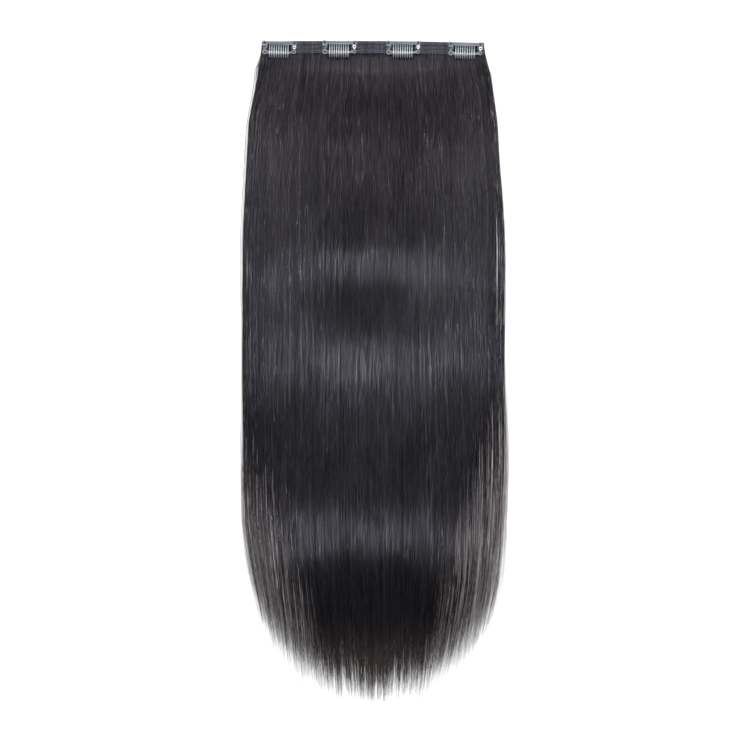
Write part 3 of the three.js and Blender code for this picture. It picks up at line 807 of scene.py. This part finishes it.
# %% Height of the band's face
BAND_DEPTH = float(band_top(0) - band_low(0))
FACE_DOWN = np.linspace(0.15 * MM, BAND_DEPTH - 0.15 * MM, 60)
NEAR = 3  # readings on each side, of which the highest counts
TRACKS = ("top_track", "middle_track", "lower_track")
faces = [surface(node) for node in TRACKS]
face_read = [max(top_of(face, 0, float(band_top(0)) - down) for face in faces) for down in FACE_DOWN]
FACE = np.array([max(face_read[max(k - NEAR, 0):k + NEAR + 1]) for k in range(len(face_read))])
print("band", round(BAND_DEPTH, 4), "face", round(float(FACE.min()), 5), "to", round(float(FACE.max()), 5))

# %% [markdown]
# When a comb is open, its back edge dips close to the band, so the roots below a comb are pressed flatter.

# %% Where the combs lie
COMBS = (1, 2, 3, 4)
joints = {joint["child"]: joint for joint in frame["joints"]}
WINDOW = (-10.9 * MM, 10.6 * MM)  # the teeth's stretch of a comb, across from its hinge's middle
FRAME = (-17.2 * MM, 17.2 * MM)  # the whole comb's


def comb_axes(number):
    """Middle of a comb's hinge line, and its directions right and up."""
    joint = joints[f"comb_{number}"]
    right = -np.array(joint["axis"])
    return np.array(joint["pos_m"]), right, np.array([-right[1], right[0], 0])


def under_comb(x, stretch):
    return any(stretch[0] < x - comb_axes(number)[0][0] < stretch[1] for number in COMBS)


# %% Folded roots over the band
PRESSED = 0.32 * MM
FOLDS = 620
fold_x = np.sort(rng.uniform(BAND_LEFT + 0.1 * MM, BAND_RIGHT - 0.1 * MM, FOLDS))
rise = rng.uniform(0.05, 0.45, FOLDS) * MM * (0.6 + 0.4 * np.sin(fold_x * 260) * np.sin(fold_x * 97 + 1))
fold_end = rng.uniform(0.35, 1.0, FOLDS)
fold_paths = []
for x, up, end in zip(fold_x, rise, fold_end):
    stations = [(1.5 * MM, 0.3 * MM), (0.2 * MM, 0.35 * MM), (-up, 1.0 * MM), (0.35 * MM, FACE[0])]
    for down in np.linspace(2 * MM, BAND_DEPTH, 5):
        stations.append((down, np.interp(down, FACE_DOWN, FACE)))
    below = BAND_DEPTH + 14 * MM * end
    stations.append(((BAND_DEPTH + below) / 2, float(hair_height(0, (below - BAND_DEPTH) / 2 / HAIR_LENGTH))))
    stations.append((below, float(hair_height(0, (below - BAND_DEPTH) / HAIR_LENGTH)) - 0.2 * MM))
    lean = rng.normal(0, 0.35) * MM
    wave = rng.uniform(0, 6)
    sunk = PRESSED if under_comb(x, FRAME) else 0.0
    fold_paths.append([
        (x + lean * k / 10 + 0.08 * MM * math.sin(wave + 2 * k), float(band_top(x)) - down,
         height + 0.03 * MM - (sunk if 2 < k < 7 else 0.0))
        for k, (down, height) in enumerate(stations)
    ])
fold_paths = np.array(fold_paths)
fold_radii = np.tile(np.array([0.6, 1, 1, 1, 1, 1, 1, 1, 1, 0.8, 0.3]), (FOLDS, 1)) * 0.1 * MM
fold_tones = rng.uniform(0, 1, FOLDS) ** 1.5
folds = tubes("root_folds", fold_paths, fold_radii, fold_tones, turn=rng.uniform(0, 2, FOLDS))

# %% [markdown]
# The roots are dusty and pressed flat by the sewing, so they shine less than the loose hair below them.

# %% Finish of the roots
root_finish = strand_material(
    "root_finish",
    [(0.0, (0.01, 0.01, 0.014)), (0.5, (0.03, 0.03, 0.04)), (0.8, (0.08, 0.08, 0.1)),
     (1.0, (0.22, 0.21, 0.235))],
    (0.008, 0.007, 0.008),
    dullest=0.6, glossiest=0.4,
)
dress(folds, root_finish)

# %% [markdown]
# Between a comb's teeth and below their tips, a flat mat of near black strands lies close under the steel.
# It is mostly painted shade for the comb's shadow on the band, and partly the dark roots that lie there.

# %% Dark roots and painted shade under the combs
MAT = 64  # strands under each comb
MAT_END = -13.0  # mm below the hinge line, past the teeth's tips
mat_paths = []
for number in COMBS:
    hinge, right, up = comb_axes(number)
    for x in np.linspace(*WINDOW, MAT):
        lean = rng.normal(0, 0.25) * MM
        row = []
        low = MAT_END + rng.uniform(0, 3)
        for share in np.linspace(0, 1, 10):
            spot = hinge + right * (x + lean * share) + up * (3.4 + (low - 3.4) * share) * MM
            down = float(band_top(spot[0])) - spot[1]
            if down < BAND_DEPTH - 0.5 * MM:
                face = np.interp(down, FACE_DOWN, FACE) + 0.12 * MM + 0.05 * MM * math.sin(7 * x / MM)
            else:
                below = max(down - BAND_DEPTH, 0) / HAIR_LENGTH
                face = float(hair_height(spot[0] / HALF_WIDTH, below)) + 0.1 * MM
            row.append((spot[0], spot[1], face))
        mat_paths.append(row)
mat_paths = np.array(mat_paths)
mat_radii = np.full(mat_paths.shape[:2], 0.19 * MM)
mat = tubes("roots_and_painted_shade_under_combs", mat_paths, mat_radii, rng.uniform(0, 0.7, len(mat_paths)))
dress(mat, roots_and_shade_finish)

# %% [markdown]
# Each track has two rows of stitches, short beads of thread whose ends dip into the band.

# %% Stitches
STITCH = 1.15 * MM  # from one stitch to the next
ROWS = [  # for each track the places of its two rows across it, and how much paler they are
    [(0.12, 0.35), (0.62, 0.1)],
    [(0.2, 0.2), (0.62, -0.05)],
    [(0.07, 0.4), (0.62, -0.3)],
]
stitch_paths = []
stitch_tones = []
for number, rows in enumerate(ROWS):
    for row, paler in rows:
        down = BAND_DEPTH * (number + row) / len(TRACKS)
        x = BAND_LEFT + 0.8 * MM
        while x < BAND_RIGHT - 0.8 * MM:
            if under_comb(x, FRAME if number == 0 else WINDOW):
                x += STITCH
                continue
            length = STITCH * rng.uniform(0.8, 0.95)
            slant = rng.normal(0.16, 0.05)
            wander = 0.1 * MM * math.sin(x * 300 + 5 * number + 9 * row)
            height = float(np.interp(down, FACE_DOWN, FACE)) + rng.uniform(0.02, 0.07) * MM
            stitch_paths.append([
                (x + length * t, float(band_top(x)) - down - wander - length * slant * (t - 0.5),
                 height - 0.22 * MM * (2 * t - 1) ** 4)
                for t in (0, 0.2, 0.5, 0.8, 1)
            ])
            stitch_tones.append(np.clip(rng.uniform(0.05, 0.85) + paler, 0, 1))
            x += STITCH
stitch_paths = np.array(stitch_paths)
stitch_radii = np.tile(np.array([0.4, 0.85, 1, 0.85, 0.4]), (len(stitch_paths), 1)) * 0.21 * MM
stitches = tubes("band_stitches", stitch_paths, stitch_radii, np.array(stitch_tones), sides=4)

# %% [markdown]
# The sewing thread is matt and grey blue, and its tone changes from stitch to stitch.

# %% Finish of the threads
thread_finish = strand_material(
    "thread_finish",
    [(0.0, (0.008, 0.01, 0.016)), (0.4, (0.05, 0.057, 0.08)), (0.8, (0.17, 0.18, 0.225)),
     (1.0, (0.36, 0.37, 0.41))],
    (0.06, 0.065, 0.085),
    dullest=0.75, glossiest=0.5,
)
dress(stitches, thread_finish)

# %% [markdown]
# The tracks themselves are seen between stitches and strands. They are cloth-like, ribbed across by the roots
# that lie under the thread, so fine bands along the object's x axis and a soft noise make their bump.

# %% Finish of the tracks
track_finish, tree, shader = new_material("track_finish")
fibres = stretched_noise(tree, (3800, 500, 500))
tones = [(0.3, (0.018, 0.021, 0.031)), (0.55, (0.05, 0.055, 0.075)), (0.75, (0.12, 0.13, 0.16))]
relief = bump(tree, fibres, 0.8, 0.15 * MM)
feed(shader, {"Base Color": ramp(tree, fibres, tones), "Normal": relief, "Roughness": 0.7}, tree.links)
for node in TRACKS:
    frame["nodes"][node].data.materials.clear()
    frame["nodes"][node].data.materials.append(track_finish)

# %% [markdown]
# The snap combs are stamped from thin spring steel and dipped in blue-grey enamel. Stamping leaves soft
# edges, which catch the light, so each comb and rail is a copy of its solid with its triangles merged back
# into faces and a small bevel. The bevel takes a second material: there the enamel has rubbed off.

# %% Copy and soften a stamped piece
def soften(node, name, bevel):
    piece = bpy.data.objects.new(name, frame["nodes"][node].data.copy())
    piece.data.materials.clear()
    bpy.context.collection.objects.link(piece)
    bpy.ops.object.select_all(action="DESELECT")
    bpy.context.view_layer.objects.active = piece
    piece.select_set(True)
    bpy.ops.object.mode_set(mode="EDIT")
    bpy.ops.mesh.select_all(action="SELECT")
    bpy.ops.mesh.remove_doubles(threshold=0.002 * MM)
    bpy.ops.mesh.dissolve_limited(angle_limit=math.radians(1))
    bpy.ops.mesh.normals_make_consistent(inside=False)
    bpy.ops.object.mode_set(mode="OBJECT")
    if bevel:
        edges = piece.modifiers.new("soft_edges", "BEVEL")
        edges.width = bevel
        edges.segments = 2
        edges.limit_method = "ANGLE"
        edges.angle_limit = math.radians(38)
        edges.material = 1
        bpy.ops.object.modifier_apply(modifier=edges.name)
    bpy.ops.object.shade_smooth_by_angle(angle=math.radians(32))
    return piece


# %% [markdown]
# Paint and worn metal are never one even colour. A fine speckle turns each from a darker tone to a paler one,
# and the same speckle changes its gloss and gives it a slight bump.

# %% Enamel, bare steel and nickel
def metal(name, dark, pale, metallic, roughness, grain, depth, contrast=0.15):
    """Speckled metal. Within contrast of the noise's middle it turns from dark to pale."""
    made, tree, shader = new_material(name)
    speckle = noise(tree, add_node(tree, "TexCoord", {}).outputs["Object"], grain, 4.0)
    look = {
        "Base Color": ramp(tree, speckle, [(0.5 - contrast, dark), (0.5 + contrast, pale)]),
        "Roughness": spread(tree, speckle, *roughness),
        "Normal": bump(tree, speckle, 0.5, depth * MM),
        "Metallic": metallic,
    }
    feed(shader, look, tree.links)
    return made


enamel = metal("enamel", (0.085, 0.098, 0.12), (0.125, 0.14, 0.165), 0.0, (0.3, 0.5), 900, 0.02)
rail_enamel = metal("rail_enamel", (0.076, 0.086, 0.104), (0.117, 0.129, 0.149), 0.1, (0.3, 0.5), 900, 0.02)
worn_edge = metal("worn_edge", (0.2, 0.22, 0.25), (0.42, 0.44, 0.47), 0.3, (0.28, 0.45), 1500, 0.01, 0.1)
# Near black for the flanks of the teeth: painted shade between the teeth.
tooth_painted_shade = metal("tooth_painted_shade", (0.02, 0.023, 0.03), (0.04, 0.045, 0.055), 0.0, (0.5, 0.6), 900, 0.01)
# Paler steel for the teeth's upper faces: partly wear, partly painted highlight for their glints.
tooth_wear_and_highlight = metal("tooth_wear_and_highlight", (0.15, 0.165, 0.185), (0.32, 0.335, 0.36), 0.3, (0.26, 0.4), 1100, 0.01)
nickel = metal("nickel", (0.8, 0.8, 0.79), (0.93, 0.93, 0.92), 1.0, (0.34, 0.5), 1200, 0.01, 0.1)

# %% [markdown]
# Below the hinge line the upper faces of the teeth get a paler steel: partly wear, as the teeth rub on hair
# each time the comb is opened, and partly painted highlight for the glints on the bent teeth. Their flanks get
# a near black material, which is painted shade between the teeth. Faces there are picked by their place in
# the comb's own directions.

# %% Combs, rails and eyelets
TOOTH_ROOT = 2.4 * MM  # above the hinge line
FLANK = 0.35  # lean of a face's normal along the comb, from which it is a tooth's flank
for number in COMBS:
    for kind, finish, body, bevel, slot in (
        ("comb", enamel, f"comb_{number}", 0.09 * MM, "comb_steel"),
        ("rail", rail_enamel, "weft", 0.09 * MM, "comb_steel"),
        ("eyelet", nickel, f"comb_{number}", 0, "eyelet"),
    ):
        node = f"clip_{number}_{kind}"
        piece = dress(soften(node, f"{node}_finished", bevel), finish, body, node)
        if bevel:
            piece.data.materials.append(worn_edge)
        if kind == "comb":
            piece.data.materials.append(tooth_wear_and_highlight)
            piece.data.materials.append(tooth_painted_shade)
            hinge, right, up = comb_axes(number)
            for polygon in piece.data.polygons:
                spot = np.array(polygon.center) - hinge
                if spot @ up < TOOTH_ROOT and WINDOW[0] < spot @ right < WINDOW[1]:
                    flank = abs(np.array(polygon.normal) @ right) > FLANK
                    worn_and_highlit = spot @ up < 0 and not flank
                    polygon.material_index = 3 if flank else 2 if worn_and_highlit else 0

# %% [markdown]
# Each clip is sewn on by hand through its holes. A thread rises from the band beside the steel, bends over
# the edge, and dives into the hole. The rail's threads go with the weft; the comb's threads get no body.

# %% Sewing threads
SHEET = 0.5 * MM
THREAD = 0.2 * MM  # half its thickness
HOLES = {  # place on the comb from its hinge line, and each thread's direction and distance to the edge
    "comb": [
        ((-13.75, 3.4), [(0, 1, 2.2), (-0.45, 1, 2.4), (-1, 0.15, 2.35)]),
        ((-13.75, 0.0), [(-1, -0.12, 2.35), (-1, 0.22, 2.4)]),
        ((14.0, 3.4), [(0.62, 1, 2.5), (0.15, 1, 2.25), (-0.35, 1, 2.4)]),
    ],
    "rail": [
        ((-13.75, -4.85), [(-0.8, -0.6, 2.5), (-0.25, -1, 2.5)]),
        ((14.0, -4.3), [(0.75, -0.65, 1.95), (0.2, -1, 1.95)]),
    ],
}
PROFILE = [  # how far out on its way, as shares of the distance to the edge and mm more, and how high in mm
    (1.0, 0.85, -2.1), (1.0, 0.45, -0.7), (1.0, 0.26, 0.3), (1.0, -0.05, 0.73), (0.75, 0, 0.72),
    (0.5, 0, 0.71), (0.26, 0, 0.6), (0.1, 0, 0.1), (0.02, 0, -0.9),
]
RAIL_LOWER = -0.8  # mm, as the rail lies under the comb
BLEND = (-1.2, 0.2)  # mm, from the hinge line down to the band and up to the comb


def smooth_path(points, places):
    """Catmull-Rom curve through points."""
    points = np.array([points[0], *points, points[-1]])
    out = []
    for at in np.linspace(0, len(points) - 3 - 1e-9, places):
        k, t = int(at), at - int(at)
        a, b, c, d = points[k:k + 4]
        bent = (2 * a - 5 * b + 4 * c - d) * t * t + (3 * b - a - 3 * c + d) * t**3
        out.append(0.5 * (2 * b + (c - a) * t + bent))
    return out


for number in COMBS:
    hinge, right, up = comb_axes(number)
    for part, holes in HOLES.items():
        level = 0.0 if part == "comb" else RAIL_LOWER
        paths = []
        for (x, y), ways in holes:
            for dx, dy, reach in ways:
                turn = math.hypot(dx, dy)
                dx, dy = dx / turn, dy / turn
                points = [
                    hinge + (right * (x + dx * (reach * out + more)) + up * (y + dy * (reach * out + more))) * MM
                    + np.array([0, 0, max(high + (level if high > -1 else 0), -2.4) * MM])
                    for out, more, high in PROFILE
                ]
                paths.append(smooth_path(points, 18))
        paths = np.array(paths)
        tones = rng.uniform(0, 0.5, len(paths))
        radii = np.full(paths.shape[:2], THREAD)
        threads = tubes(f"clip_{number}_{part}_threads", paths, radii, tones, sides=6)
        dress(threads, thread_finish, body="weft" if part == "rail" else None)
        if part == "comb":
            low, high = (tuple(hinge + np.array([0, 0, at * MM])) for at in BLEND)
            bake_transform(threads)

# %% [markdown]
# Last, the number of triangles added is printed.

# %% Count the added triangles
print("added", added, "triangles")
